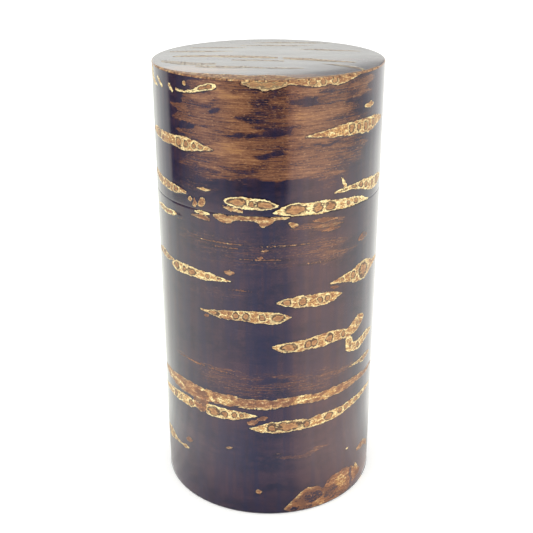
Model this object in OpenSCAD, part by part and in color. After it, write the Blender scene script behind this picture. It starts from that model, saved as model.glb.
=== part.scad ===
// Tall round tea caddy of the Japanese cherry-bark kind, with a flush lift-off lid and an inner lid.
// An outer tube of two wooden plies, clad with bark outside and inside, is cut at the seam into
// body and lid. A second, narrower sleeve is glued into the body and stands above the seam as the
// collar on which the lid slides. The inner lid stops the mouth of that sleeve.
// Millimetres, +Z up, origin at the centre of the base. Every piece is turned about Z.

/* [Outside] */
// Outside diameter of the closed caddy
outer_d = 78; // [66:1:100]
// Height of the closed caddy
total_h = 157; // [110:1:200]
// Height of the lid, from the seam to the top
lid_h = 43; // [40:1:60]
// Rounding of the top and bottom rims
rim_round = 0.5; // [0.1:0.05:0.55]
// Easing of the two edges that meet at the seam
seam_round = 0.25; // [0.05:0.05:0.4]

/* [Layers] */
// Thickness of the polished outer bark
bark_t = 0.6; // [0.6:0.1:1]
// Thickness of the bark that lines the inside
lining_t = 0.5; // [0.4:0.1:0.8]
// Thickness of one ply of the outer wooden tube
ply_t = 0.95; // [0.7:0.05:1.5]
// Thickness of the sleeve's wooden ply
sleeve_t = 1.6; // [1:0.1:2.5]
// Thickness of the top and bottom boards
board_t = 4; // [3:0.5:6]

/* [Collar and inner lid] */
// Radial clearance between the collar and the lid
lid_fit = 0.1; // [0.05:0.05:0.3]
// Radial clearance between the inner lid's plug and the mouth
plug_fit = 0.1; // [0.05:0.05:0.3]
// Thickness of the inner lid's flange board
flange_t = 2; // [1.5:0.5:3]
// How far the inner lid's flange stays inside the collar's outside
flange_inset = 0.5; // [0.3:0.1:1]
// Depth of the inner lid's plug board
plug_t = 5; // [3:0.5:8]
// Height of the knob above the inner lid
knob_h = 8.5; // [6:0.5:9]
// Diameter of the knob's head
knob_d = 15; // [12:1:20]
// Air between the knob and the lid's ceiling
knob_gap = 2.9; // [1:0.1:5]
// Diameter of the tenon that fixes the knob
tenon_d = 7; // [4:0.5:7]

/* [Hidden] */
$fn = 180;

BARK = "#3a2722";
LINING = "#5b3a28";
PLY = "#b98d5e";
BOARD = "#c39a6b";
KNOB = "#7a4326";

// Radii of the layers, from the outside inwards
outer_r = outer_d / 2;
ply_out_r = outer_r - bark_t;
ply_mid_r = ply_out_r - ply_t;
ply_in_r = ply_mid_r - ply_t;
tube_r = ply_in_r - lining_t;
collar_r = tube_r - lid_fit;
sleeve_out_r = collar_r - lining_t;
sleeve_in_r = sleeve_out_r - sleeve_t;
mouth_r = sleeve_in_r - lining_t;

// Heights of the body and the lid, from the base upwards
floor_z = bark_t + board_t;
seam_z = total_h - lid_h;
roof_z = total_h - bark_t;
ceiling_z = roof_z - board_t;

// Heights of the inner lid, from the ceiling downwards. The collar fills what is left of the lid
knob_top_z = ceiling_z - lining_t - knob_gap;
lid_face_z = knob_top_z - knob_h;
flange_z = lid_face_z - lining_t;
mouth_z = flange_z - flange_t;
plug_z = mouth_z - plug_t;

// The inner lid
flange_r = collar_r - flange_inset;
plug_r = mouth_r - plug_fit;
lining_round = 0.3;
tenon_depth = flange_t + plug_t - 1;

// The knob: a foot ring, a half-round cove that makes the neck, and a head with a low dome
knob_r = knob_d / 2;
knob_foot_h = 0.5;
knob_lip_r = 0.2 * knob_h;
knob_dome_h = 0.12 * knob_h;
knob_cove_r = (knob_h - knob_foot_h - knob_dome_h) / 2 - knob_lip_r;
knob_dome_base_r = knob_r - knob_lip_r;
knob_dome_r = (pow(knob_dome_base_r, 2) + pow(knob_dome_h, 2)) / (2 * knob_dome_h);

// Points of an arc about [x, z], from one angle to another
function arc(x, z, r, from, to, steps = 6) =
    [for (i = [0:steps]) let (a = from + (to - from) * i / steps) [x + r * cos(a), z + r * sin(a)]];

// One corner of an outline: square, or rounded over the quarter turn that starts at the angle from
function corner(x, z, r, from) =
    r == 0 ? [[x, z]] : arc(x - r * sign(cos(from + 45)), z - r * sign(sin(from + 45)), r, from, from + 90);

// A tube, or a disc where r_in is 0. The four radii in round are those of the outline's corners:
// outer low, outer high, inner high, inner low
module ring(r_in, r_out, z_low, z_high, round = [0, 0, 0, 0])
    rotate_extrude()
        polygon(concat(
            corner(r_out, z_low, round[0], -90),
            corner(r_out, z_high, round[1], 0),
            corner(r_in, z_high, round[2], 90),
            corner(r_in, z_low, round[3], 180)
        ));

// ---- Body ----

module body_bark() color(BARK)
    ring(ply_out_r, outer_r, bark_t, seam_z, [0, seam_round, 0, 0]);

module body_outer_ply() color(PLY)
    ring(ply_mid_r, ply_out_r, bark_t, seam_z);

module body_inner_ply() color(PLY)
    ring(ply_in_r, ply_mid_r, bark_t, seam_z);

module body_tube_lining() color(LINING)
    ring(tube_r, ply_in_r, bark_t, seam_z);

module sleeve_ply() color(PLY)
    ring(sleeve_in_r, sleeve_out_r, floor_z, mouth_z);

module collar_bark() color(LINING)
    ring(sleeve_out_r, collar_r, floor_z, mouth_z, [0, lining_round, 0, 0]);

module sleeve_lining() color(LINING)
    ring(mouth_r, sleeve_in_r, floor_z, mouth_z, [0, 0, lining_round, 0]);

module bottom_board() color(BOARD)
    ring(0, tube_r, bark_t, floor_z);

module bottom_bark() color(BARK)
    ring(0, outer_r, 0, bark_t, [rim_round, 0, 0, 0]);

module floor_lining() color(LINING)
    ring(0, mouth_r, floor_z, floor_z + lining_t);

// ---- Lid ----

module lid_bark() color(BARK)
    ring(ply_out_r, outer_r, seam_z, roof_z, [seam_round, 0, 0, 0]);

module lid_outer_ply() color(PLY)
    ring(ply_mid_r, ply_out_r, seam_z, roof_z);

module lid_inner_ply() color(PLY)
    ring(ply_in_r, ply_mid_r, seam_z, roof_z);

module lid_lining() color(LINING)
    ring(tube_r, ply_in_r, seam_z, roof_z, [0, 0, 0, lining_round]);

module lid_top_board() color(BOARD)
    ring(0, tube_r, ceiling_z, roof_z);

module top_bark() color(BARK)
    ring(0, outer_r, roof_z, total_h, [0, rim_round, 0, 0]);

module ceiling_lining() color(LINING)
    ring(0, tube_r, ceiling_z - lining_t, ceiling_z);

// ---- Inner lid ----

module tenon_hole()
    translate([0, 0, flange_z - tenon_depth])
        cylinder(r = tenon_d / 2, h = tenon_depth + 2 * lining_t);

module inner_lid_flange() color(BOARD)
    difference() {
        ring(0, flange_r - lining_t, mouth_z, flange_z);
        tenon_hole();
    }

module inner_lid_plug() color(BOARD)
    difference() {
        ring(0, plug_r, plug_z, mouth_z);
        tenon_hole();
    }

module inner_lid_bark() color(LINING)
    difference() {
        ring(0, flange_r, flange_z, lid_face_z, [0, lining_round, 0, 0]);
        tenon_hole();
    }

module inner_lid_edge_bark() color(LINING)
    ring(flange_r - lining_t, flange_r, mouth_z, flange_z);

module inner_lid_underside_bark() color(LINING)
    ring(0, plug_r, plug_z - lining_t, plug_z, [lining_round, 0, 0, 0]);

// A waisted button, turned in one piece with its tenon
module inner_lid_knob() color(KNOB) {
    tenon_r = tenon_d / 2;
    tenon_low_z = flange_z - tenon_depth;
    foot_top_z = lid_face_z + knob_foot_h;
    head_low_z = foot_top_z + 2 * knob_cove_r;
    dome_half_angle = asin(knob_dome_base_r / knob_dome_r);
    rotate_extrude()
        polygon(concat(
            [[0, tenon_low_z], [tenon_r, tenon_low_z], [tenon_r, lid_face_z]],
            [[knob_dome_base_r + knob_foot_h, lid_face_z], [knob_dome_base_r + knob_foot_h, foot_top_z]],
            arc(knob_dome_base_r, foot_top_z + knob_cove_r, knob_cove_r, 270, 90, 12),
            arc(knob_dome_base_r, head_low_z + knob_lip_r, knob_lip_r, -84, 84, 12),
            arc(0, knob_top_z - knob_dome_r, knob_dome_r, 90 - dome_half_angle, 90, 5)
        ));
}

body_bark();
body_outer_ply();
body_inner_ply();
body_tube_lining();
sleeve_ply();
collar_bark();
sleeve_lining();
bottom_board();
bottom_bark();
floor_lining();
lid_bark();
lid_outer_ply();
lid_inner_ply();
lid_lining();
lid_top_board();
top_bark();
ceiling_lining();
inner_lid_flange();
inner_lid_plug();
inner_lid_bark();
inner_lid_edge_bark();
inner_lid_underside_bark();
inner_lid_knob();
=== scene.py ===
"""Looks of the cherry-bark tea caddy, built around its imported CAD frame.

Metres, +Z up, and the caddy's front faces -Y. Bark is laid out in millimetres: u runs along its fibre,
which is round the caddy on a tube and along X on a disc, and v runs across the fibre.
"""

import math
import random

import bpy
import numpy as np
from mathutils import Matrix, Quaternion, Vector, noise


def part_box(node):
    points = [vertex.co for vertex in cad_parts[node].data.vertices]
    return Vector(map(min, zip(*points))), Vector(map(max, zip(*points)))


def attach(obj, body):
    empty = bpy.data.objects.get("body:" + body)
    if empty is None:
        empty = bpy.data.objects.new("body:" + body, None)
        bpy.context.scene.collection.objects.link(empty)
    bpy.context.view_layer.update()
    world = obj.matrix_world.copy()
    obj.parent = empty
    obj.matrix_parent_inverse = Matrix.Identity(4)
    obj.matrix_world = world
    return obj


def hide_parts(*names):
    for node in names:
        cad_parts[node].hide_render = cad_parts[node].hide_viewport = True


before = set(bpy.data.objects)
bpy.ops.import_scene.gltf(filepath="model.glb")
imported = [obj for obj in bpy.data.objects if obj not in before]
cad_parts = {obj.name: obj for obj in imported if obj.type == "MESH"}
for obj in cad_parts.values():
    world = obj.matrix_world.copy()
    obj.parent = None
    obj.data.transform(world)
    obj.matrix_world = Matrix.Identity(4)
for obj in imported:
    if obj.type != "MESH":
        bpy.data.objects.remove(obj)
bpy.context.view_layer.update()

# ---- Sizes, from the frame ----

MM = 0.001
OUTER_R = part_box("body_bark")[1].x
PLY_OUT_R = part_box("body_outer_ply")[1].x
TUBE_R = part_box("bottom_board")[1].x
SLEEVE_OUT_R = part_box("sleeve_ply")[1].x
MOUTH_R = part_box("floor_lining")[1].x
FACE_LOW, FACE_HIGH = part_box("inner_lid_bark")
EDGE_IN_R = FACE_HIGH.x - (FACE_HIGH.z - FACE_LOW.z)

# Sizes that no box gives, as the CAD has them
RIM_ROUND = 0.5 * MM
SEAM_ROUND = 0.25 * MM
LINING_ROUND = 0.3 * MM
TENON_R = 3.5 * MM

# How far the marks stand out of the bark around them
RELIEF = 0.08 * MM
TOP_RELIEF = 0.02 * MM
LINING_RELIEF = 0.04 * MM

# The top falls by TOP_CROWN over its outer CROWN_WIDE and is worn over its outer RIM_WIDE
TOP_CROWN = 0.1 * MM
CROWN_WIDE = 10 * MM
RIM_WIDE = 0.45 * MM

# The line where a sheet's ends meet: half its width in millimetres, and its share of the relief
JOINT_WIDE = 0.5
JOINT_DEEP = 0.8

# How far apart a mesh's points are, and how many columns they make
SKIN_PITCH, SKIN_COLUMNS = 0.45 * MM, 384
DISC_PITCH, DISC_COLUMNS = 0.6 * MM, 288
LINING_PITCH, LINING_COLUMNS = 1.2 * MM, 192
KNOB_COLUMNS = 128

# ---- Marks in the bark ----
# A mark is a corky patch: how bright its cork is, the v that it is measured from, its outline as (u, low
# edge, high edge) stations, and its round cells as {u: half length in millimetres}. {} means no cells, and
# a mark without it gets cells at random. The brightness runs from 1, cream, to near 0, where hardly any
# cork shows. A later mark lies over those before it and sets the brightness there. On the side u is in
# degrees from the front and grows to the right, and v is the height above the base.

LID_MARKS = [
    (0.64, 153, [(-12, 2.5, 4), (-6, 1.2, 4), (-1, 0.9, 4), (5, 1.5, 4), (9, 2.5, 4)], {-7: 2.4, -0.5: 2,
     5: 1.6}),
    (0.66, 154, [(9, 1.6, 3), (16, 1, 3), (24, 0.4, 3), (34, 0.5, 3), (41, 1.3, 3), (48, 2.5, 3)], {20: 1.2,
     25: 0.9, 31: 1}),
    (0.95, 150, [(-80, 5.5, 7), (-77.5, 3, 7), (-75, 1.6, 6.4), (-72.5, 0.6, 3), (-69.5, 0.5, 1.6),
     (-66, 0.6, 1.2)], {}),
    (0.95, 150, [(-66, 3.4, 4.2), (-64, 2.2, 3.6), (-62, 1.4, 2.6), (-59.5, 0.8, 1.4)], {}),
    (1, 150, [(-54, 2.4, 3.2), (-52.5, 1.2, 2.9), (-51, 0.6, 2), (-49.8, 0.4, 0.9)], {}),
    (1, 151, [(-48.2, 0.4, 1.2), (-44, 0.2, 0.8), (-41, 0.4, 1), (-36, 0.8, 1.7), (-33, 1.3, 3),
     (-28, 2, 4.2), (-24, 2.8, 4)]),
    (0.7, 153, [(-43, 1, 1.6), (-42, 0.4, 2), (-40.8, 0.2, 1.4)], {}),
    (0.72, 137, [(17, 2.2, 2.4), (26, 1.7, 3.7), (35, 1.2, 4.6), (45, 0.7, 5), (55, 0, 5), (64, 1, 4.7),
     (73, 2.2, 3.2)], {42: 1.2, 47: 1, 53: 1.2, 60: 1}),
    (0.74, 132, [(-80, 2.8, 3.4), (-70, 1.7, 5), (-60, 1.3, 4.7), (-50, 1.2, 4.8), (-43, 0.6, 5.4),
     (-35, 1.5, 4.4), (-26, 2.5, 2.7)], {-66: 1.2, -47: 1.3, -42: 1, -37: 0.8, -33: 0.9}),
    (0.74, 144, [(51, 1.8, 2), (54, 0.9, 2.8), (57, 1, 3), (60, 1.7, 2)], {}),
    (0.72, 117, [(-79, 2.6, 4.6), (-72, 1.4, 4.4), (-64, 0.6, 3.8), (-56, 0.3, 3.4), (-49, 0.6, 3),
     (-43, 1.4, 2)], {-66: 1, -58: 1.1, -51: 1.2}),
    (0.64, 116, [(-42, 0.6, 1), (-40.5, 0.2, 2), (-39, 0.8, 1.2)], {}),
    (0.64, 114, [(-39, 1, 1.4), (-37.5, 0.8, 3.8), (-36, 1.5, 2)], {}),
    (0.66, 115, [(-35.5, 0.5, 1), (-34, 0, 3.4), (-31.5, 1, 3)], {}),
    (0.72, 120, [(-36, 1.3, 1.5), (-32, 0.8, 2), (-28, 1.2, 1.4)], {}),
    (1, 116, [(-21, 2.2, 3), (-18.5, 1.2, 4), (-12, 0.5, 4.3), (-4, 0.1, 3.9), (1, 0.5, 3), (5, 1.5, 1.7)],
     {-15: 3.1, -7.7: 0.9, -1: 2.8}),
    (0.64, 115, [(-22, 1.6, 2), (-18, 0.2, 1.8), (-12, 0.2, 0.8)], {}),
    (1, 114, [(2, 1.2, 1.5), (6, 0.5, 3), (11, 0, 4.4), (20, 0, 4), (27, 0, 4.2), (35, 0, 3.5), (45, 0, 3),
     (52, 0, 2), (58, 0, 0.4)], {12.6: 3.4, 23.8: 1.7, 30.6: 1.9, 41.5: 0.7, 47: 1}),
    (0.9, 116, [(32.5, 3.9, 4.1), (37, 3.6, 4.8), (44, 3.8, 5.3), (50, 3, 5.5), (55, 1.8, 5.5), (62, 0.6, 5),
     (70, 1, 5), (77, 2.5, 3.5)]),
    (1, 121, [(36.6, 3.2, 3.8), (37.6, 1.2, 3.6), (38.8, 0.2, 2), (40, 0, 0.8)]),
]

BODY_MARKS = [
    (0.5, 104, [(-38, 0.3, 0.4), (-24, 0.1, 0.5), (-12, 0.2, 0.3)]),
    (0.54, 103, [(-4, 1, 1.1), (6, 0.9, 1.4), (20, 1.3, 1.4)]),
    (0.5, 102, [(-34, 0.7, 0.8), (-24, 0.6, 1), (-14, 0.8, 0.9)]),
    (0.5, 99, [(-14, 0.3, 0.4), (-6, 0.2, 0.6), (2, 0.2, 0.6), (12, 0.4, 0.5)]),
    (0.5, 97, [(14, 0.2, 0.3), (24, 0.1, 0.5), (36, 0.3, 0.4)]),
    (0.4, 88, [(-20, 0.2, 0.3), (-14, 0, 0.6), (-7, 0.2, 0.3)]),
    (0.35, 56, [(-60, 1.4, 1.5), (-44, 1.2, 1.8), (-30, 1, 1.4), (-18, 0.6, 0.8)]),
    (1, 112, [(-38, 1.2, 1.4), (-34, 0.8, 2), (-29, 1, 1.6)]),
    (0.56, 111, [(-40, 0.5, 1), (-34, 0, 1.6), (-29, 0, 1)], {}),
    (0.65, 110, [(-27, 2.8, 3.6), (-22, 1.2, 4), (-18, 1.4, 4), (-15, 2.6, 4), (-6, 2.5, 4), (-3, 0.6, 4),
     (0, 1, 4), (3, 2.8, 4), (10, 3.4, 3.8)], {}),
    (0.68, 109, [(9.5, 2.5, 3), (11.5, 0.8, 3), (14, 1.8, 2.4)], {}),
    (1, 108, [(-76, 1.2, 1.6), (-68, 0.6, 2.6), (-60, 0.5, 2.3), (-54, 1, 2.8), (-51.5, 1.8, 2.4)]),
    (0.2, 109, [(-51, 0, 1.5), (-48, 0, 1.2), (-46, 0.4, 0.8)]),
    (0.52, 110, [(19, 1.5, 1.8), (27, 0.9, 2.5), (35, 1, 1.4)], {}),
    (0.52, 108, [(21, 1.4, 1.8), (27, 0.9, 2.2), (33, 0.8, 2), (39, 1.2, 1.5)], {}),
    (0.48, 107, [(26, 0.8, 1), (31, 0.4, 1.4), (37, 0.9, 1.1)], {}),
    (0.3, 99, [(50, 1.5, 2.5), (54, 0.8, 3.6), (59, 2, 3.6)]),
    (0.55, 102, [(-3.5, 0.5, 0.7), (-1.5, 0.2, 1), (1, 0.5, 0.7)]),
    (0.4, 99, [(-5.5, 1, 1.2), (-3.5, 0.8, 1.6), (-1.5, 1, 1.2)]),
    (0.7, 91, [(-79, 0.5, 1.5), (-70, 0.5, 3.5), (-63, 0.3, 2.8), (-55, 1.5, 2)]),
    (0.92, 89, [(-58, 1.6, 2.4), (-53, 0.5, 4.2), (-45, 0.6, 4.2), (-36, 0.9, 3.8), (-28, 1.3, 3.6),
     (-18, 2, 2.2)], {-53: 1.5, -46.5: 0.9, -41: 1.7, -31: 0.8, -24.5: 0.8}),
    (0.55, 93, [(-22, 1, 1.3), (-19, 0.4, 2), (-16.5, 1, 1.3)]),
    (0.72, 85, [(31, 3.5, 3.7), (39, 2.8, 5), (46, 1.7, 5.8), (52, 0.7, 7.3), (58, 0.5, 7.5), (63, 1.8, 6.3),
     (68, 2.8, 5.3), (76, 3.5, 5)], {39: 0.7, 47: 1.2, 56: 2.6}),
    (0.3, 86, [(31, 1.2, 1.5), (34, 0.2, 1.8), (37.5, 0.6, 1)]),
    (0.76, 81, [(3.5, 3, 3.3), (8, 1.8, 4.4), (13, 0.9, 5.1), (20, 0.8, 5.2), (27, 0.4, 5), (34, 1.2, 4.6),
     (39.5, 2.9, 3)], {8.5: 1.6, 16.7: 1.3, 26: 0.9, 30: 0.9}),
    (0.7, 76, [(-37, 2.7, 2.9), (-31, 2.1, 3.2), (-27, 1.5, 3.9), (-20, 1.2, 4.3), (-14, 1.1, 4.9),
     (-5, 1, 5.1), (2, 0.4, 4.8), (6, 1, 4.4), (11, 2.7, 2.9)], {-28: 1.7, -16: 1, -11: 1.1, -3: 1, 5: 2.2}),
    (0.4, 76, [(-34, 0.9, 1.1), (-32.5, 0.4, 1.6), (-31, 0.9, 1.1)]),
    (0.74, 65, [(1.5, 2.8, 3), (6, 1, 4.2), (11, 0.7, 4.4), (20, 1, 5), (28, 0.9, 5.9), (36, 1.6, 5.6),
     (44, 1.2, 4.6), (49, 1.5, 6.5), (53, 2.4, 8), (57, 4.2, 7.4), (58.5, 5.5, 6.2)], {10: 2.6, 20: 1.2,
     23: 1.2, 32: 1.4, 41: 0.9, 52: 0.8}),
    (0.88, 59, [(43.4, 2.2, 7.4), (45, 1.5, 7.4), (47.5, 0.8, 6.8), (49, 0.5, 4.2), (53, 0.2, 3.9),
     (58, 0.7, 4.2), (63, 1.8, 5.1), (71, 2.8, 4)]),
    (0.68, 52, [(46, 1.7, 1.9), (55, 1.2, 2.3), (60, 0.3, 2.8), (66, 0.8, 2.6), (70, 1.6, 2)]),
    (0.6, 42, [(-78, 2.8, 3.8), (-70, 1.8, 5.4), (-60, 1, 5.8), (-47, 1.2, 6.5), (-38, 0.5, 6.2),
     (-30, 1.8, 6), (-20, 1.9, 6.3), (-15, 2.5, 5.9), (0, 2.5, 5.7), (10, 3, 6.1), (15, 3.3, 6.7),
     (25, 3.1, 6.1), (40, 3.2, 6.8), (50, 4, 6.8), (60, 4.2, 6.2), (76, 4.5, 5.6)], {}),
    (0.74, 43, [(-16, 0.9, 1.1), (-10, 0.8, 1.5), (-2, 0.8, 1.5), (4, 1.1, 1.3)], {}),
    (0.9, 43, [(-39, 1.4, 3), (-36, 0.6, 5.3), (-33, 1.4, 4.6), (-29, 1.2, 2)], {}),
    (0.86, 44, [(-28, 0.8, 1.4), (-24.5, 0.2, 3.4), (-21, 0.6, 2.6), (-17, 1, 1.8)], {}),
    (0.84, 45, [(12, 0.4, 1.4), (17, 0.6, 3.5), (22, 1.2, 3), (27, 1.4, 1.8)], {}),
    (0.76, 45, [(27, 0.6, 1), (31, 0.4, 2.6), (37, 1.4, 3)], {}),
    (0.8, 44, [(-76, 1, 1.8), (-66, 1, 3), (-56, 0.6, 2.4), (-50, 1, 2)], {}),
    (0.5, 45, [(-12, 0.6, 1), (-4, 0.4, 2), (6, 0.8, 1.6)], {}),
    (0.55, 38, [(-43, 1.5, 4), (-41, 1, 8), (-38, 0.5, 9), (-35, 1, 9.5), (-33, 4, 9)]),
    (0.84, 36, [(-81, 0.5, 1.3), (-72, 1, 3.3), (-62, 1.5, 4.9), (-52, 1.9, 5.8), (-45, 2, 5.6),
     (-41.5, 3.3, 4.6)], {-60: 1.2, -54: 0.8, -45: 1.2}),
    (0.86, 37, [(-34, 1.3, 5), (-31, 1, 5.6), (-25, 0.9, 5.6), (-18, 1.6, 5.3), (-12, 3, 5), (-5, 4, 4.2)],
     {-29.5: 2.2, -23: 1, -18: 0.9, -14: 0.8}),
    (0.5, 37, [(-11, 0.6, 1.6), (-8, 0.2, 2.6), (-5.5, 1.4, 2.4)], {}),
    (0.48, 39, [(-6, 0.6, 1.4), (-3, 0, 2.4), (-0.5, 1.4, 2)], {}),
    (0.8, 34, [(-10, 1.9, 2.1), (-5, 0.8, 3.3), (1, 0.4, 4.8), (8, 0.4, 5.1), (16, 0.8, 5.2), (21, 1.1, 4.5),
     (27, 1.3, 5.4), (36, 1.7, 5.5), (45, 2.7, 5.8), (54, 3.4, 6.1), (63, 4.3, 6.3), (74, 5.2, 6)],
     {1.5: 1.5, 10.5: 4.2, 20: 1.2, 32.8: 1.6, 40.3: 1, 45: 1, 53.5: 1.2, 60: 1}),
    (0.6, 26, [(-23, 0.4, 0.6), (-21, 0.1, 1.2), (-19, 0.8, 1)], {}),
    (0.6, 25, [(2.5, 0.6, 0.8), (4.5, 0.4, 1), (6.5, 0.7, 0.8)], {}),
    (0.54, 22, [(-51, 0.6, 1), (-48.5, 0.1, 2.6), (-45.5, 1.2, 2)], {}),
    (0.8, 14, [(-84, 0.5, 3), (-78, 2, 6), (-71, 2.5, 7), (-65, 3.5, 6.5), (-61, 4.3, 5.5), (-55, 4.6, 5.4),
     (-52, 4.5, 6.2), (-48.5, 5.4, 5.8)]),
    (0.8, 19, [(46, 0.6, 0.9), (47.5, 0.2, 1.3), (49, 0.7, 0.9)]),
    (0.6, 8, [(-6.8, 1.3, 2), (-5.2, 0.6, 2.8), (-3.8, 1.3, 2)], {}),
    (0.6, 11, [(57, 4.4, 5), (61, 3.2, 6.2), (66, 3.6, 5.8), (74, 0, 3)], {}),
    (0.36, 0, [(8.3, 1.5, 2.2), (11, 0.6, 4), (14, 0, 6), (18, 0, 8.5), (23, 0, 9.6), (27, 0, 9.1),
     (31, 0, 7.6), (34, 0, 10.6), (37, 0, 11.6), (41, 0, 11), (45, 0, 12), (48, 0.8, 11.5), (51, 2, 9.6),
     (56, 3, 7.8), (60, 3.6, 6.8), (63, 5, 5.4)], {}),
    (0.56, 2, [(33, 4, 5), (36, 4.4, 9), (40, 1, 9.4), (44, 0, 9), (49, 0, 8)], {}),
    (0.7, 4, [(38.5, 3, 4.5), (41, 1, 6), (44.5, 0.6, 5.6), (47.5, 1.5, 3)], {}),
    (0.56, 2, [(48, 0, 9), (52, 0.6, 8.6), (57, 2.6, 6), (60, 3.6, 4.6)], {}),
    (0.62, 1, [(8.3, 0.4, 1.3), (11, 1.6, 3.2), (14, 3.8, 5.2), (18, 6.2, 7.6), (22, 7.8, 8.8),
     (27, 7.2, 8.2)], {}),
    (0.6, 0, [(24.4, 0.5, 3), (26, 0, 4), (31, 0.6, 6)], {}),
    (0.12, 1, [(12.4, 0.2, 2.2), (14.6, 0, 4), (16.4, 0.4, 2.8)], {}),
    (0.2, 3, [(18.6, 1, 2.6), (20.6, 0.2, 4.6), (25, 0, 4.8), (28.5, 0.4, 4), (30, 1.6, 3)], {}),
    (0.22, 1, [(32.4, 1.4, 4), (34, 0.4, 6.4), (37.5, 0.2, 6.4), (40, 1.6, 4.6)], {}),
    (0, 1, [(50, 8.6, 9.4), (50.8, 4, 9.4), (51.8, 0.4, 8.8), (52.8, 0.2, 3)], {}),
    (0.8, 6, [(55.6, 2.4, 4.4), (57.4, 1.4, 3.8), (59, 0.2, 2)], {}),
]

# On the top disc u and v are the X and Y of the row, in millimetres
TOP_MARKS = [
    (0.84, 0, [(-32, 0.4, 2.6), (-26, 0, 3.6), (-20, 0.2, 3.6), (-13, -0.8, 3.2), (-8, -1.6, 2.8),
     (-2, -2.4, 1.8), (3, -2.8, -0.2)], {}),
    (0.84, 0, [(5, -4, -0.6), (10, -5.6, -1.4), (16, -7.4, -3.6), (22, -9, -6.6), (28, -10.6, -9)], {}),
    (0.9, -9, [(-12, 2.4, 4.4), (-4, 1.6, 4.4), (5, 0.6, 2.4)], {}),
    (0.9, 9, [(-34, 0.6, 3), (-26, 0.2, 4), (-19, 0.6, 3.6), (-12, 2.6, 3.2)], {}),
    (0.9, 17, [(-28, 1, 2.4), (-18, 0, 3.4), (-8, 1.4, 2.4)], {}),
    (0.9, 21, [(-10, 2, 3), (0, 1, 4), (10, 0.6, 3), (16, 1.4, 2)], {}),
    (0.9, 10, [(11, 5, 6), (17, 3, 6.4), (24, 1.6, 4.4), (32, 0.8, 2)], {}),
    (0.9, 27, [(-6, 2, 2.6), (4, 1, 4.6), (16, 0.6, 3.8), (23, 1.8, 2.2)], {}),
    (0.9, -15, [(-35, 6, 9), (-30, 2, 7.4), (-24, 0, 5), (-17, 1, 4)], {}),
    (0.9, -20, [(-23, 1.6, 4.8), (-15, 0, 4.4), (-8, 0, 3.4), (-2, 0.6, 2)], {}),
    (0.9, -21, [(-5, 1.2, 2.2), (3, 0, 2.4), (11, 0.4, 1.6)], {}),
    (0.9, -24, [(17, 11.6, 12), (22, 8.4, 10.8), (27, 3.6, 7.6), (30, 0.4, 3.6)], {}),
    (0.64, -40, [(-36.5, 25, 27), (-34, 20, 22.6), (-31, 15, 18.6), (-26, 10, 14.6), (-18, 4, 11.4),
     (-12, 2, 10.2), (-6, 1, 8), (0, 0.5, 9.2), (4, 0.5, 8), (8, 1.2, 5), (11, 2, 3.8)], {}),
    (0.64, -39, [(9, 0.5, 3.4), (14, 1.4, 5.2), (18, 3.4, 7), (22, 6, 9.2), (27, 10, 13.2), (31, 14, 17),
     (35, 21, 23)], {}),
]

# Patches of skin, as (u, v, half length, half height, strength). A strength above 0 is a stretch where the
# dark outer skin is worn through to the tan layer below, and one under 0 is a stretch of near black.
SIDE_PATCHES = [
    (2, 140.5, 50, 17, 0.46), (0, 154.8, 46, 3, 0.46), (-24, 152.6, 10, 3, 0.9),
    (-31, 145.5, 12, 3.5, 0.46), (-15, 147, 8, 9, 0.6), (-28, 140, 12, 4, 0.5), (-19, 134.5, 10, 3.6, 0.86),
    (-10, 133.5, 12, 3.2, 0.7), (-24, 128.2, 9, 2.4, 0.56), (4, 128, 8, 2.2, 0.55), (20, 128, 18, 2.4, 0.5),
    (24, 145.5, 14, 4.6, 0.7), (24, 139.5, 15, 2.8, 0.58), (28, 133.6, 14, 2.2, 0.4),
    (22, 153, 9, 2.4, 0.66), (50, 152, 10, 3, 0.55), (50, 134, 8, 4, 0.3), (-37, 150, 9, 5, 0.34),
    (-39, 143, 9, 7, 0.4), (-34, 128.6, 12, 4, 0.22), (-2, 147, 9, 9, -0.3), (-1.5, 140.8, 9, 2, -0.42),
    (-9, 128.3, 7, 1.5, -0.36), (4.5, 134.3, 5, 2, -0.42), (-25, 146.9, 6, 0.8, -0.5),
    (18, 150.2, 9, 1.4, -0.4), (26, 136.4, 15, 0.7, -0.45), (46, 147, 8, 4, -0.3), (-52, 142, 5, 17, -0.8),
    (0, 122.8, 30, 2.2, -0.8), (-38, 122, 12, 3, 0.14), (34, 122, 12, 2, 0.14), (4, 101.5, 55, 6.5, 0.15),
    (28, 101, 15, 5, 0.28), (-34, 104, 16, 4, 0.16), (27, 110, 11, 2.4, 0.4), (-28, 86.4, 13, 2.6, 0.12),
    (2, 53.5, 44, 5, 0.2), (1, 54.4, 3.5, 0.8, -0.45), (-45, 57.6, 25, 0.5, 0.4), (20, 24.3, 15, 1.3, 0.24),
    (-49, 42.5, 6.5, 0.8, -1), (-13, 43.4, 22, 0.75, -1), (50, 64.6, 4, 1.4, -0.8), (45, 54, 12, 1.2, 0.3),
]
TOP_PATCHES = [
    (-22, -21, 16, 6, 0.5), (-4, -35, 26, 5, 0.7), (-10, 2, 24, 4, 0.2), (12, -4, 18, 4, 0.2),
    (-20, 12, 16, 3, 0.2), (16, 13, 18, 3, 0.2), (0, 24, 26, 3, 0.2),
]

# The back, from FIRST_WILD degrees on, has made-up marks and patches. The marks end short of the joint.
FIRST_WILD = 84
LAST_WILD_MARK = 174
WILD_LID_V = (124, 155)
WILD_BODY_V = (6, 118)
WILD_MARKS_V = (4, 153)
LINING_CORKY = (0.3, 0.8)

# The half height of a made-up mark along its length
SWELL = [(0, 0.06), (0.12, 0.6), (0.35, 1), (0.65, 0.95), (0.88, 0.6), (1, 0.06)]


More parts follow.
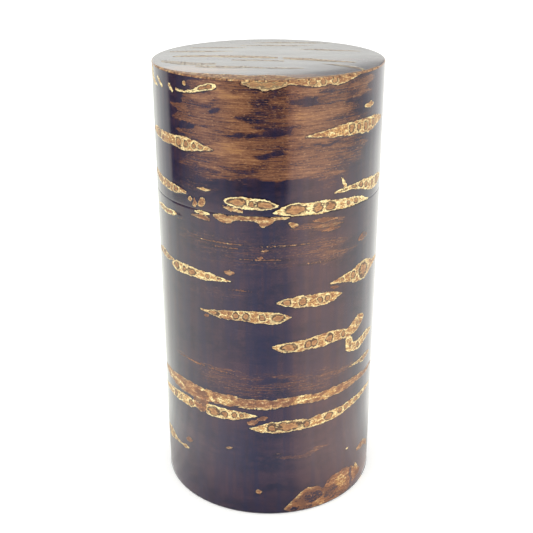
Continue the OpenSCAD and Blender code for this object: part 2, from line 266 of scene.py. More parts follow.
def wild_marks(seed, u_range, v_range, spacing, length, thickness, corky=(0.6, 1.0)):
    """Lens-shaped marks for a stretch of bark that has none listed, in rows about spacing apart"""
    rng = random.Random(seed)
    marks = []
    v = v_range[0] + rng.uniform(0.2, 0.8) * spacing
    while v < v_range[1]:
        u = u_range[0] + rng.uniform(-0.3, 0.6) * length
        while u < u_range[1]:
            long = length * rng.uniform(0.3, 1.6)
            half = thickness * rng.uniform(0.3, 0.75)
            slope = rng.uniform(-0.04, 0.04) * half
            middle = v + rng.uniform(-0.35, 0.35) * spacing
            stations = []
            for share, wide in SWELL:
                lift = middle + slope * share * long + rng.uniform(-0.3, 0.3) * half
                reach = half * wide * rng.uniform(0.75, 1.2)
                stations.append((u + share * long, lift - reach, lift + reach))
            if stations[0][0] > u_range[0] and stations[-1][0] < u_range[1]:
                marks.append((rng.uniform(*corky), 0, stations))
            u += long + length * rng.uniform(0.5, 2.2)
        v += spacing * rng.uniform(0.7, 1.3)
    return marks


def wild_patches(seed, u_range, v_range, count, long, tall):
    """Worn and near black patches for a stretch of bark that has none listed"""
    rng = random.Random(seed)
    patches = []
    for _ in range(count):
        place = (rng.uniform(*u_range), rng.uniform(*v_range))
        size = (long * rng.uniform(0.4, 1.3), tall * rng.uniform(0.4, 1.3))
        strength = rng.choice([rng.uniform(0.3, 0.75), rng.uniform(0.3, 0.75), rng.uniform(-0.9, -0.4)])
        patches.append((*place, *size, strength))
    return patches


def cells_along(stations, seed):
    """Round cells in a row along a mark that has none listed"""
    rng = random.Random(seed)
    cells = {}
    u = stations[0][0] + rng.uniform(1.2, 3)
    while u < stations[-1][0] - 1.2:
        cells[u] = rng.uniform(0.6, 1.7)
        u += rng.uniform(2.2, 5.5)
    return cells


def in_millimetres(marks, radius):
    """The same marks with u in millimetres round a tube of that radius, not in degrees"""
    step = math.radians(1) * radius / MM
    converted = []
    for corky, base, stations, *cells in marks:
        placed = [{u * step: size for u, size in row.items()} for row in cells]
        converted.append((corky, base, [(u * step, low, high) for u, low, high in stations], *placed))
    return converted


def step_between(low, high, value):
    """0 up to low, 1 from high, and a smooth rise between"""
    t = np.clip((value - low) / (high - low), 0, 1)
    return t * t * (3 - 2 * t)


def grain_noise(u, v, along, across, seed):
    """Smooth noise from -1 to 1, as long as along and as wide as across, for each point"""
    return np.array([noise.noise((a / along, b / across, seed)) for a, b in zip(u, v)])


class BarkFields:
    """What the bark does at points (u, v), as point attributes of a mesh for the material to read:
    depth is how far inside a mark a point lies, across is where it lies from the mark's lower to its upper
    edge, corky is how bright the mark is, cell is the distance from the nearest cell's middle, with 1 at its
    edge, and worn is how worn or black the skin is. Lengths are in millimetres."""

    NAMES = ("depth", "across", "corky", "cell", "worn")
    FAR = 9.0

    def __init__(self, u, v, marks, patches, seed):
        self.depth = np.full(len(u), -self.FAR)
        self.across = np.zeros(len(u))
        self.corky = np.zeros(len(u))
        self.cell = np.full(len(u), self.FAR)
        self.ragged = 0.6 * grain_noise(u, v, 2.6, 1.3, seed) + 0.4 * grain_noise(u, v, 1.1, 0.7, seed + 7)
        for number, (corky, base, stations, *cells) in enumerate(marks):
            at, low, high = (np.array(column, float) for column in zip(*stations))
            low, high = base + low, base + high
            middle = np.interp(u, at, (low + high) / 2)
            half = np.interp(u, at, (high - low) / 2)
            past_end = np.maximum(np.maximum(at[0] - u, u - at[-1]), 0)
            beside = np.abs(v - middle) - half
            depth = np.where(past_end > 0, -np.hypot(past_end, np.maximum(beside, 0)), -beside)
            fray = np.minimum(0.55, 0.12 + 0.35 * half) * (1.9 - corky)
            depth = depth + self.ragged * fray
            deeper = depth > self.depth
            self.depth[deeper] = depth[deeper]
            self.across[deeper] = ((v - middle) / np.maximum(half, 0.25))[deeper]
            self.corky[deeper | (depth > 0)] = corky
            self.add_cells(u, v, middle, half, deeper, cells[0] if cells else cells_along(stations, number))
        self.drift = grain_noise(u, v, 11, 2.2, seed + 11)
        self.sway = grain_noise(u, v, 7, 4, seed + 13)
        self.worn = np.zeros(len(u))
        for patch in patches:
            self.wear(u, v, *patch)

    def add_cells(self, u, v, middle, half, deeper, cells):
        """Each cell takes up most of the mark's height, and stays round where the mark is tall"""
        self.cell[deeper] = self.FAR
        for at, size in cells.items():
            tall = np.minimum(0.72 * half, 1.15 * size)
            apart = np.hypot((u - at) / size, (v - middle) / np.maximum(tall, 0.1))
            self.cell = np.where(deeper, np.minimum(self.cell, apart), self.cell)

    def wear(self, u, v, at_u, at_v, half_u, half_v, strength):
        """A soft, ragged patch, which is laid over those before it"""
        along = (u - at_u + 2.5 * self.ragged + 9 * self.drift) / half_u
        up = (v - at_v + 0.8 * self.ragged + 2.2 * self.sway) / half_v
        share = step_between(-1.45, -0.5, -np.hypot(along, up))
        if strength > 0:
            self.worn = np.maximum(self.worn, strength * share)
        else:
            self.worn += (strength - self.worn) * share * -strength

    def height(self):
        """How far the surface stands out, from 0 on plain bark to about 1 on a mark"""
        return 0.9 * step_between(-0.15, 0.5, self.depth) * (0.75 + 0.25 * self.ragged)

    def store(self, mesh):
        for name in self.NAMES:
            layer = mesh.attributes.new("bark_" + name, "FLOAT", "POINT")
            layer.data.foreach_set("value", getattr(self, name).astype(np.float32))


# ---- Turned pieces ----


def added(name, data):
    """A new object in the scene"""
    made = bpy.data.objects.new(name, data)
    bpy.context.scene.collection.objects.link(made)
    return made


def arc(r, z, radius, start, stop, steps):
    """Points of an arc about (r, z), between two angles in degrees"""
    angles = [math.radians(start + (stop - start) * k / steps) for k in range(steps + 1)]
    return [(r + radius * math.cos(a), z + radius * math.sin(a)) for a in angles]


def corner(r, z, radius, start, steps=5):
    """A corner of an outline, rounded over the quarter turn from that angle, or square where radius is 0"""
    if radius == 0:
        return [(r, z)]
    middle = math.radians(start + 45)
    r_in = math.copysign(radius, math.cos(middle))
    z_in = math.copysign(radius, math.sin(middle))
    return arc(r - r_in, z - z_in, radius, start, start + 90, steps)


def between(start, stop, pitch):
    """Points from start to stop, both left out, about pitch apart"""
    count = max(1, round(math.dist(start, stop) / pitch))
    return [tuple(a + (b - a) * k / count for a, b in zip(start, stop)) for k in range(1, count)]


def revolved(name, outline, columns):
    """A closed solid turned about Z from a closed outline of (r, z), run anticlockwise, where r = 0 is a
    pole, and how far round each corner of its faces is, from 0 to 1"""
    verts, rows = [], []
    for r, z in outline:
        if r == 0:
            rows.append([len(verts)] * (columns + 1))
            verts.append((0, 0, z))
        else:
            ring = [len(verts) + i for i in range(columns)]
            rows.append(ring + ring[:1])
            for i in range(columns):
                angle = -math.pi + 2 * math.pi * i / columns
                verts.append((r * math.sin(angle), -r * math.cos(angle), z))
    faces, turns = [], []
    closed = outline[0][0] != 0
    for low, high in zip(rows, rows[1:] + rows[:1] if closed else rows[1:]):
        for i in range(columns):
            corners = [(low[i], i), (low[i + 1], i + 1), (high[i + 1], i + 1), (high[i], i)]
            kept = [c for k, c in enumerate(corners) if c[0] != corners[k - 1][0]]
            if len(kept) > 2:
                faces.append([c[0] for c in kept])
                turns += [c[1] / columns for c in kept]
    mesh = bpy.data.meshes.new(name)
    mesh.from_pydata(verts, [], faces)
    mesh.shade_smooth()
    mesh.set_sharp_from_angle(angle=math.radians(40))
    return added(name, mesh), np.array(turns)


def points_of(mesh):
    """The mesh's points, one to a row"""
    found = np.empty(len(mesh.vertices) * 3)
    mesh.vertices.foreach_get("co", found)
    return found.reshape(-1, 3)


def set_points(mesh, points):
    mesh.vertices.foreach_set("co", points.ravel())
    mesh.update()


def set_grain(mesh, u, v):
    """Stores each corner's place in the bark, in millimetres, as a UV layer"""
    layer = mesh.uv_layers.new(name="grain")
    layer.data.foreach_set("uv", np.column_stack([u, v]).ravel())


def corner_points(mesh, points):
    """The point at each corner of the mesh's faces"""
    index = np.empty(len(mesh.loops), np.int32)
    mesh.loops.foreach_get("vertex_index", index)
    return points[index]


def finish_piece(piece, body, node, finish):
    """Gives a piece its body and the material of its finish, which is a material and a slot, and hides the
    CAD node that it stands for
    """
    material, slot = finish
    piece.data.materials.append(material)
    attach(piece, body)
    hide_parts(node)


def bark_tube(name, body, node, finish, r_in, marks, patches, seed, rounds=(0, 0, 0, 0),
              pitch=SKIN_PITCH, columns=SKIN_COLUMNS, faces_out=True, relief=RELIEF):
    """A bark skin round a tube. Its bark side is the outer one, or the inner one on a lining."""
    low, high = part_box(node)
    r_out, z_low, z_high = high.x, low.z, high.z
    low_out, high_out, high_in, low_in = rounds
    outline = corner(r_out, z_low, low_out, -90)
    if faces_out:
        outline += between(outline[-1], (r_out, z_high - high_out), pitch)
    outline += corner(r_out, z_high, high_out, 0) + corner(r_in, z_high, high_in, 90)
    if not faces_out:
        outline += between(outline[-1], (r_in, z_low + low_in), pitch)
    outline += corner(r_in, z_low, low_in, 180)
    piece, turns = revolved(name, outline, columns)
    mesh = piece.data
    points = points_of(mesh)
    radius = np.hypot(points[:, 0], points[:, 1])
    angle = np.arctan2(points[:, 0], -points[:, 1])
    skin_r = r_out if faces_out else r_in
    u, v = angle * skin_r / MM, points[:, 2] / MM
    fields = BarkFields(u, v, marks, patches, seed)
    wave = 0.35 * grain_noise(u, v, 9, 60, seed + 3) + 0.18 * grain_noise(u, v, 3, 25, seed + 5)
    joint = np.exp(-(((math.pi - np.abs(angle)) * skin_r / MM) / JOINT_WIDE) ** 2)
    height = np.clip(fields.height() + wave - JOINT_DEEP * joint, -1, 1)
    on_skin = np.abs(radius - skin_r) < 0.3 * (r_out - r_in)
    inward = -1 if faces_out else 1
    offset = np.where(on_skin, inward * relief * (1 - height), 0)
    points[:, :2] *= ((radius + offset) / radius)[:, None]
    set_points(mesh, points)
    corners = corner_points(mesh, points)
    set_grain(mesh, (turns * 2 - 1) * math.pi * skin_r / MM, corners[:, 2] / MM)
    fields.store(mesh)
    finish_piece(piece, body, node, finish)


def bark_disc(name, body, node, finish, marks, patches, seed, rounds=(0, 0), faces_up=True, r_in=0,
              pitch=DISC_PITCH, columns=DISC_COLUMNS, relief=RELIEF, crown=0, rim_wear=0.0):
    """A bark disc, with its bark side up or down. crown is how far its edge falls below its middle, and
    rim_wear is how worn that edge is."""
    low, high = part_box(node)
    r_out, z_low, z_high = high.x, low.z, high.z
    low_out, high_out = rounds
    outline = [(r_in, z_low)]
    if not faces_up:
        outline += between((r_in, z_low), (r_out - low_out, z_low), pitch)
    outline += corner(r_out, z_low, low_out, -90) + corner(r_out, z_high, high_out, 0)
    if faces_up:
        outline += between((r_out - high_out, z_high), (r_in, z_high), pitch)
    outline += [(r_in, z_high)]
    piece, _ = revolved(name, outline, columns)
    mesh = piece.data
    points = points_of(mesh)
    u, v = points[:, 0] / MM, points[:, 1] / MM
    fields = BarkFields(u, v, marks, patches, seed)
    wave = 0.4 * grain_noise(u, v, 14, 7, seed + 3)
    height = np.clip(fields.height() + wave, -1, 1)
    face_z = z_high if faces_up else z_low
    near_face = 1 - np.abs(points[:, 2] - face_z) / (z_high - z_low)
    radius = np.hypot(points[:, 0], points[:, 1])
    at_rim = radius > r_out - RIM_WIDE
    fields.worn[at_rim] = np.maximum(fields.worn, rim_wear * (1 + 0.5 * fields.ragged))[at_rim]
    fall = crown * np.clip((radius - r_out + CROWN_WIDE) / CROWN_WIDE, 0, 1) ** 2
    sink = relief * (1 - height) + fall
    points[:, 2] += np.where(near_face > 0.2, near_face * (-sink if faces_up else sink), 0)
    set_points(mesh, points)
    corners = corner_points(mesh, points) / MM
    set_grain(mesh, corners[:, 0], corners[:, 1])
    fields.store(mesh)
    finish_piece(piece, body, node, finish)


# ---- Materials ----


def srgb(*display):
    """A linear colour from its red, green and blue display values between 0 and 255"""
    linear = (((c / 255 + 0.055) / 1.055) ** 2.4 if c > 10 else c / 255 / 12.92 for c in display)
    return (*linear, 1)


def mix_of(share, a, b):
    """A fixed colour part of the way from a to b"""
    return tuple(one + (other - one) * share for one, other in zip(a, b))


class Nodes:
    """A short way to write a material: each call adds a node and gives back the output that matters"""

    def __init__(self, name):
        self.material = bpy.data.materials.new(name)
        self.material.use_nodes = True
        self.tree = self.material.node_tree
        self.tree.nodes.clear()

    def add(self, kind, inputs, output=0, **settings):
        made = self.tree.nodes.new("ShaderNode" + kind)
        for key, value in settings.items():
            setattr(made, key, value)
        for key, value in inputs.items():
            if isinstance(value, bpy.types.NodeSocket):
                self.tree.links.new(value, made.inputs[key])
            else:
                made.inputs[key].default_value = value
        return made.outputs[output] if made.outputs else made

    def math(self, operation, a, b=0.0, c=0.0):
        return self.add("Math", {0: a, 1: b, 2: c}, operation=operation)

    def times(self, a, b):
        return self.math("MULTIPLY", a, b)

    def less(self, a, b):
        return self.math("SUBTRACT", a, b)

    def vary(self, value, pattern, amount):
        """The value, raised or lowered by amount times what the pattern differs from a half"""
        return self.math("MULTIPLY_ADD", self.less(pattern, 0.5), amount, value)

    def attribute(self, name):
        return self.add("Attribute", {}, "Fac", attribute_name=name)

    def rise(self, value, low, high, to_low=0.0, to_high=1.0):
        """A smooth step of value between low and high"""
        inputs = {"Value": value, "From Min": low, "From Max": high, "To Min": to_low, "To Max": to_high}
        return self.add("MapRange", inputs, interpolation_type="SMOOTHSTEP")

    def mix(self, share, a, b):
        return self.add("Mix", {0: share, 6: a, 7: b}, 2, data_type="RGBA")

    def ramp(self, value, stops):
        """A colour that changes evenly between (place, colour) stops, with the place from 0 to 1"""
        colour = self.add("ValToRGB", {0: value})
        elements = colour.node.color_ramp.elements
        elements[0].position, elements[0].color = stops[0]
        elements[1].position, elements[1].color = stops[-1]
        for place, rgba in stops[1:-1]:
            elements.new(place).color = rgba
        return colour

    def position(self, axes="XYZ"):
        """The coordinates of a point of the object"""
        place = self.add("TexCoord", {}, "Object")
        return [self.add("SeparateXYZ", {0: place}, axis) for axis in axes]

    def noise(self, vector, detail, roughness):
        inputs = {"Vector": vector, "Scale": 1.0, "Detail": detail, "Roughness": roughness}
        return self.add("TexNoise", inputs, "Fac")

    def surface(self, **inputs):
        named = {key.replace("_", " ").title().replace("Ior", "IOR"): value for key, value in inputs.items()}
        shader = self.add("BsdfPrincipled", named)
        self.add("OutputMaterial", {"Surface": shader})
        return self.material


CREAM = srgb(246, 227, 164)
GOLD = srgb(194, 145, 80)
CORK_BROWN = srgb(138, 90, 54)
COPPER = srgb(186, 132, 94)
CELL_RING = srgb(64, 36, 20)
HAIR_GOLD = srgb(188, 144, 102)
NEAR_BLACK = srgb(22, 17, 28)
# The blue of the painted reflection streaks on the dark skin
STREAK_REFLECTION_BLUE = srgb(30, 30, 54)
CELL_EDGE = (srgb(146, 98, 56), srgb(200, 150, 92))
CELL_HEART = (srgb(112, 68, 40), srgb(170, 118, 74))


def bark_material(name, dark, red, brown, tan, rough_skin, seed, cork_share=1.0, coat=1.0, specked=False):
    """Cherry bark: a smooth dark skin with fine fibres along it, worn tan stretches, and corky marks. On
    specked bark the palest marks are thin stains with rows of dark specks."""
    n = Nodes(name)
    mix, rise, times, vary = n.mix, n.rise, n.times, n.vary
    grain = n.add("UVMap", {}, uv_map="grain")

    def grained(along, across, number, detail, roughness):
        """Noise in which one unit is along by across millimetres"""
        scaled = n.add("VectorMath", {0: grain, 1: (1 / along, 1 / across, 1)}, operation="MULTIPLY")
        moved = n.add("VectorMath", {0: scaled, 1: (0, 0, seed + number)}, operation="ADD")
        return n.noise(moved, detail, roughness)

    depth, across, corky, cell, worn = (n.attribute("bark_" + name) for name in BarkFields.NAMES)
    fibres = grained(6, 0.42, 1, 4, 0.68)
    grit = grained(0.6, 0.36, 2, 4, 0.7)
    blotch = grained(7, 2.4, 3, 4, 0.62)
    weave = n.math("ADD", times(fibres, 0.6), times(grit, 0.4))

    # Dark skin: slow changes between near black and red brown, with painted blue reflection streaks running
    # upright
    clouds = grained(24, 9, 0, 3, 0.55)
    skin = mix(rise(clouds, 0.4, 0.66), dark, red)
    skin = mix(rise(fibres, 0.48, 0.75, 0, 0.5), skin, red)
    skin = mix(rise(grit, 0.52, 0.7, 0, 0.35), skin, mix_of(0.3, red, tan))
    mottle = grained(4, 2.6, 15, 4, 0.72)
    skin = mix(rise(mottle, 0.44, 0.62, 0, 0.6), skin, mix_of(0.05, red, tan))
    # Painted reflection: upright blue streaks laid into the skin's colour, where the polish would reflect
    # its surroundings
    painted_reflection_streaks = grained(2.4, 45, 12, 3, 0.6)
    skin = mix(rise(painted_reflection_streaks, 0.44, 0.6, 0, 0.6), skin, STREAK_REFLECTION_BLUE)

    # Worn stretches: first brown and then tan fibres show through, in blotches and streaks
    streak = grained(14, 0.55, 4, 5, 0.7)
    bare = worn
    for pattern, weight in ((blotch, 0.9), (streak, 1.5), (fibres, 1.6), (grit, 1.0)):
        share = rise(worn, 0.12, 0.5, 0.6 * weight, weight)
        bare = vary(bare, pattern, share)
    stops = [(0, brown), (0.3, mix_of(0.22, brown, tan)), (0.6, mix_of(0.66, brown, tan)), (0.8, tan),
             (1, mix_of(0.25, tan, GOLD))]
    some = rise(worn, 0.02, 0.25)
    skin = mix(times(rise(bare, 0.05, 0.4), some), skin, n.ramp(bare, stops))

    # Golden hairs and flecks are many where the skin is a little worn and few elsewhere
    hairs = grained(16, 0.2, 5, 3, 0.6)
    flecks = grained(1.3, 0.5, 6, 4, 0.7)
    hair = times(rise(hairs, 0.64, 0.72), rise(worn, 0, 0.5, 0.06, 0.5))
    fleck = times(rise(flecks, 0.55, 0.66), rise(worn, 0.02, 0.3, 0, 0.4))
    skin = mix(n.math("MAXIMUM", hair, fleck), skin, HAIR_GOLD)

    # Near black stretches, and a dark line round each mark that widens below it into a painted shadow, as
    # the raised mark would cast
    black = vary(times(worn, -1), blotch, -1.2)
    skin = mix(rise(black, 0.1, 0.6, 0, 0.9), skin, NEAR_BLACK)
    # Painted shadow: near black just outside a mark, strongest below it and under the corkier, more raised
    # marks
    under = times(rise(depth, -0.7, -0.1), rise(across, 0.1, -0.8, 0.5, 0.95))
    under = times(under, rise(corky, 0.25, 0.6, 0.2, 1))
    skin = mix(under, skin, NEAR_BLACK)

    # Cork: cream and gold grit, with brown veins and specks, and a bright, broken edge that is a painted
    # highlight
    fray = grained(0.9, 0.5, 7, 4, 0.65)
    inside = vary(depth, fray, 1.3)
    tone = grained(2.4, 1.0, 8, 4, 0.65)
    pale = n.math("MULTIPLY_ADD", n.less(corky, 0.78), 0.7, 0.5)
    pale = vary(pale, tone, 1.7)
    pale = vary(pale, grit, 1.3)
    cork = mix(rise(pale, 0.28, 0.5), CORK_BROWN, mix(rise(corky, 0.72, 0.5, 0, 0.85), GOLD, COPPER))
    cork = mix(rise(pale, 0.52, 0.72), cork, CREAM)
    vein = n.math("ABSOLUTE", n.less(grained(1.9, 1.1, 9, 3, 0.6), 0.5))
    cork = mix(rise(vein, 0.05, 0.012, 0, 0.6), cork, mix(0.4, CORK_BROWN, CELL_RING))
    cork = mix(rise(grit, 0.44, 0.34, 0, 0.75), cork, CELL_RING)

    gaps = grained(5.5, 3.6, 11, 4, 0.72)
    gap = times(rise(gaps, 0.45, 0.53), rise(corky, 0.72, 0.52, 0, 0.75))
    cork = mix(gap, cork, mix_of(0.4, brown, tan))

    # Round cells in the paler marks: brown, hatched along the fibre, each inside a dark, uneven ring
    wobble = grained(1.8, 1.3, 10, 1, 0.5)
    near = vary(cell, fray, 1.2)
    near = vary(near, wobble, 1.2)
    within = times(rise(inside, 0.08, 0.3), rise(corky, 0.5, 0.7))
    cork = mix(times(rise(near, 1.65, 1.35, 0, 0.5), within), cork, CREAM)
    broken = times(within, rise(tone, 0.34, 0.5, 0.5, 1))
    cork = mix(times(rise(near, 1.3, 1.12, 0, 0.96), broken), cork, CELL_RING)
    filling = mix(rise(weave, 0.42, 0.56), *CELL_EDGE)
    filling = mix(rise(near, 0.62, 0.3, 0, 0.75), filling, mix(fibres, *CELL_HEART))
    cork = mix(times(rise(near, 0.88, 0.7, 0, 0.88), within), cork, filling)
    # Painted highlight: a cream line along the inside of each mark's edge, broken by noise, where light
    # would catch the raised edge
    painted_edge_highlight = times(rise(inside, 0.42, 0.1), rise(tone, 0.42, 0.56, 0.1, 0.95))
    cork = mix(times(painted_edge_highlight, rise(corky, 0.45, 0.92)), cork, CREAM)

    # Faint marks are broken up into stains
    stained = vary(corky, blotch, 1.6)
    stained = vary(stained, grit, 1.2)
    stained = vary(stained, fray, 1.0)
    shown = times(rise(inside, -0.06, 0.08), rise(stained, 0.12, 0.36))
    shown = times(shown, cork_share)
    if specked:
        shown = times(shown, rise(corky, 0.75, 0.9, 1, 0.4))
    colour = mix(shown, skin, cork)
    lacquer = n.math("MULTIPLY_ADD", shown, -0.6 * coat, coat)
    if specked:
        dots = grained(0.7, 1.5, 14, 2, 0.55)
        speck = times(rise(dots, 0.52, 0.6), rise(inside, -0.1, 0.4))
        colour = mix(times(speck, 0.85), colour, CELL_RING)
        lacquer = times(lacquer, n.less(1, speck))

    relief = n.math("MULTIPLY_ADD", fibres, 0.25, times(times(grit, shown), 0.9))
    normal = n.add("Bump", {"Height": relief, "Strength": 0.35, "Distance": 0.06 * MM})
    rough = n.math("MULTIPLY_ADD", shown, 0.3, rise(clouds, 0.3, 0.7, rough_skin, rough_skin + 0.08))
    return n.surface(base_color=colour, roughness=rough, ior=1.5, coat_weight=lacquer, coat_roughness=0.07,
                     normal=normal)


def wood_material(name, light, dark, lines_per_metre, seed, rough=0.5, coat=0.0):
    """Fine-grained wood, with its growth lines in thin layers and short pores"""
    n = Nodes(name)
    place = n.add("TexCoord", {}, "Object")
    layers = n.add("VectorMath", {0: place, 1: lines_per_metre}, operation="MULTIPLY")
    layers = n.add("VectorMath", {0: layers, 1: (seed, seed, seed)}, operation="ADD")
    lines = n.noise(layers, 4, 0.6)
    fine = n.add("VectorMath", {0: layers, 1: (6, 6, 6)}, operation="MULTIPLY")
    pores = n.noise(fine, 3, 0.7)
    colour = n.mix(n.rise(lines, 0.35, 0.65), light, dark)
    colour = n.mix(n.rise(pores, 0.6, 0.8, 0, 0.5), colour, dark)
    height = n.math("MULTIPLY_ADD", pores, 0.5, lines)
    normal = n.add("Bump", {"Height": height, "Strength": 0.25, "Distance": 0.1 * MM})
    roughness = n.rise(pores, 0.3, 0.8, rough, rough + 0.15)
    return n.surface(base_color=colour, roughness=roughness, coat_weight=coat, coat_roughness=0.12,
                     normal=normal)


# The dark, red, brown and tan of the bark outside and inside, and the light and dark of the knob
POLISHED = (srgb(25, 23, 40), srgb(54, 37, 49), srgb(74, 43, 33), srgb(130, 89, 62))
LINED = (srgb(64, 36, 28), srgb(96, 56, 38), srgb(104, 62, 42), srgb(150, 98, 60))
KNOB_WOOD = (srgb(128, 70, 40), srgb(74, 36, 22))

# The finish of a built piece is a material and the record's slot that it belongs to
polished_bark = (bark_material("polished_bark", *POLISHED, 0.11, 4.0), "polished_bark")
polished_top = (bark_material("polished_top", *POLISHED, 0.2, 6.0, specked=True), "polished_bark")
lining_bark = (bark_material("lining_bark", *LINED, 0.42, 9.0, cork_share=0.8, coat=0.35), "lining_bark")
ply_wood = wood_material("ply_wood", srgb(206, 168, 120), srgb(160, 116, 74), (90, 90, 2500), 1.0)
board_wood = wood_material("board_wood", srgb(214, 178, 130), srgb(170, 126, 82), (60, 1400, 1400), 5.0)
knob_wood = (wood_material("knob_wood", *KNOB_WOOD, (120, 1500, 260), 8.0, 0.3, 0.7), "knob_wood")

# ---- The pieces ----


def recolour(names, material):
    """Gives CAD nodes that keep their own shape their material"""
    for name in names:
        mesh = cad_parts[name].data
        mesh.materials.clear()
        mesh.materials.append(material)


side_marks = in_millimetres(LID_MARKS + BODY_MARKS, OUTER_R)
for seed, u_range in [(11, (-LAST_WILD_MARK, -FIRST_WILD)), (23, (FIRST_WILD, LAST_WILD_MARK))]:
    side_marks += in_millimetres(wild_marks(seed, u_range, WILD_MARKS_V, 11.5, 26, 3.4), OUTER_R)
degree = math.radians(1) * OUTER_R / MM
back_patches = wild_patches(5, (FIRST_WILD, 360 - FIRST_WILD), WILD_LID_V, 26, 16, 3.2)
back_patches += wild_patches(6, (FIRST_WILD, 360 - FIRST_WILD), WILD_BODY_V, 34, 18, 3.4)
side_patches = [(u * degree, v, half * degree, *rest) for u, v, half, *rest in SIDE_PATCHES + back_patches]
# u runs from -180 to 180 degrees, so the patches at the back are laid again a whole turn earlier
side_patches += [(u - 360 * degree, *rest) for u, *rest in side_patches if u > 60 * degree]


def side_bark():
    for name, body, node, rounds in [("body_bark_skin", "caddy", "body_bark", (0, SEAM_ROUND, 0, 0)),
                                     ("lid_bark_skin", "lid", "lid_bark", (SEAM_ROUND, 0, 0, 0))]:
        bark_tube(name, body, node, polished_bark, PLY_OUT_R, side_marks, side_patches, 1.5, rounds)


def end_bark():
    bark_disc("top_bark_disc", "lid", "top_bark", polished_top, TOP_MARKS, TOP_PATCHES, 6.5, (0, RIM_ROUND),
              relief=TOP_RELIEF, crown=TOP_CROWN, rim_wear=0.9)
    marks = wild_marks(31, (-42, 42), (-38, 38), 10, 22, 3)
    bark_disc("bottom_bark_disc", "caddy", "bottom_bark", polished_bark, marks, [], 3.5, (RIM_ROUND, 0),
              False)


def lined_tube(name, body, node, seed, r_in, rounds=(0, 0, 0, 0), faces_out=False):
    """A tube of lining bark, with made-up marks that keep clear of its ends and its joint"""
    low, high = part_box(node)
    reach = math.pi * high.x / MM - 3
    heights = (low.z / MM + 2, high.z / MM - 2)
    marks = wild_marks(seed, (-reach, reach), heights, 12, 20, 2.2, LINING_CORKY)
    bark_tube(name, body, node, lining_bark, r_in, marks, [], seed, rounds, LINING_PITCH, LINING_COLUMNS,
              faces_out, LINING_RELIEF)


def lined_disc(name, body, node, seed, rounds=(0, 0), faces_up=True, r_in=0):
    """A disc of lining bark, with made-up marks"""
    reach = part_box(node)[1].x / MM
    marks = wild_marks(seed, (-reach, reach), (-reach, reach), 11, 18, 2.2, LINING_CORKY)
    bark_disc(name, body, node, lining_bark, marks, [], seed, rounds, faces_up, r_in, LINING_PITCH,
              LINING_COLUMNS, LINING_RELIEF)


def linings():
    lined_tube("collar_bark_skin", "caddy", "collar_bark", 41, SLEEVE_OUT_R, (0, LINING_ROUND, 0, 0), True)
    lined_tube("sleeve_lining_skin", "caddy", "sleeve_lining", 42, MOUTH_R, (0, 0, LINING_ROUND, 0))
    lined_tube("body_tube_lining_skin", "caddy", "body_tube_lining", 43, TUBE_R)
    lined_disc("floor_lining_disc", "caddy", "floor_lining", 44)
    lined_tube("lid_lining_skin", "lid", "lid_lining", 45, TUBE_R, (0, 0, 0, LINING_ROUND))
    lined_disc("ceiling_lining_disc", "lid", "ceiling_lining", 46, faces_up=False)
    lined_disc("inner_lid_bark_disc", "inner_lid", "inner_lid_bark", 47, (0, LINING_ROUND), r_in=TENON_R)
    lined_tube("inner_lid_edge_strip", "inner_lid", "inner_lid_edge_bark", 48, EDGE_IN_R, faces_out=True)
    lined_disc("inner_lid_underside_disc", "inner_lid", "inner_lid_underside_bark", 49, (LINING_ROUND, 0),
               False)


def knob():
    """The turned button: a foot, a half-round cove for the fingers, and a low domed head"""
    low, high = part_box("inner_lid_knob")
    face_z = FACE_HIGH.z
    tall = high.z - face_z
    foot, lip, dome = 0.5 * MM, 0.2 * tall, 0.12 * tall
    cove = (tall - foot - dome) / 2 - lip
    base_r = high.x - lip
    dome_r = (base_r ** 2 + dome ** 2) / (2 * dome)
    half_angle = math.degrees(math.asin(base_r / dome_r))
    outline = [(0, low.z), (TENON_R, low.z), (TENON_R, face_z), (base_r + foot, face_z)]
    outline += [(base_r + foot, face_z + foot * 0.7), (base_r + foot * 0.7, face_z + foot)]
    outline += arc(base_r, face_z + foot + cove, cove, 270, 90, 24)
    outline += arc(base_r, high.z - dome - lip, lip, -84, 84, 24)
    outline += arc(0, high.z - dome_r, dome_r, 90 - half_angle, 90, 16)[:-1] + [(0, high.z)]
    piece, _ = revolved("knob_turned", outline, KNOB_COLUMNS)
    finish_piece(piece, "inner_lid", "inner_lid_knob", knob_wood)


side_bark()
end_bark()
linings()
knob()
recolour(["body_outer_ply", "body_inner_ply", "sleeve_ply", "lid_outer_ply", "lid_inner_ply"], ply_wood)
recolour(["bottom_board", "lid_top_board", "inner_lid_flange", "inner_lid_plug"], board_wood)

# ---- Camera, floor and light ----

CAMERA_BACK = 308.5 * MM
CAMERA_UP = 210.4 * MM
CAMERA_DOWN = math.radians(22.77)
CAMERA_YAW = math.radians(-0.14)
CAMERA_ROLL = math.radians(0.1)
CAMERA_LENS = 61.56
CAMERA_SENSOR = 36

FLOOR_HALF = 8.0
FLOOR_GLOW = 0.14

WORLD_COLOUR = (1, 1, 0.965, 1)
WORLD_STRENGTH = 1.3
# Soft lamps that point at the caddy, as (name, place, width, watts)
LAMPS = [("key", (-0.7, -0.6, 1.3), 0.9, 3.0), ("fill", (0.9, -0.4, 1.1), 0.9, 1.5)]


def camera():
    data = bpy.data.cameras.new("camera")
    data.sensor_width, data.lens = CAMERA_SENSOR, CAMERA_LENS
    made = added("camera", data)
    level = math.cos(CAMERA_DOWN)
    ahead = Vector((math.sin(CAMERA_YAW) * level, math.cos(CAMERA_YAW) * level, -math.sin(CAMERA_DOWN)))
    made.rotation_mode = "QUATERNION"
    made.rotation_quaternion = Quaternion(ahead, CAMERA_ROLL) @ ahead.to_track_quat("-Z", "Y")
    made.location = (0, -CAMERA_BACK, CAMERA_UP)
    bpy.context.scene.camera = made


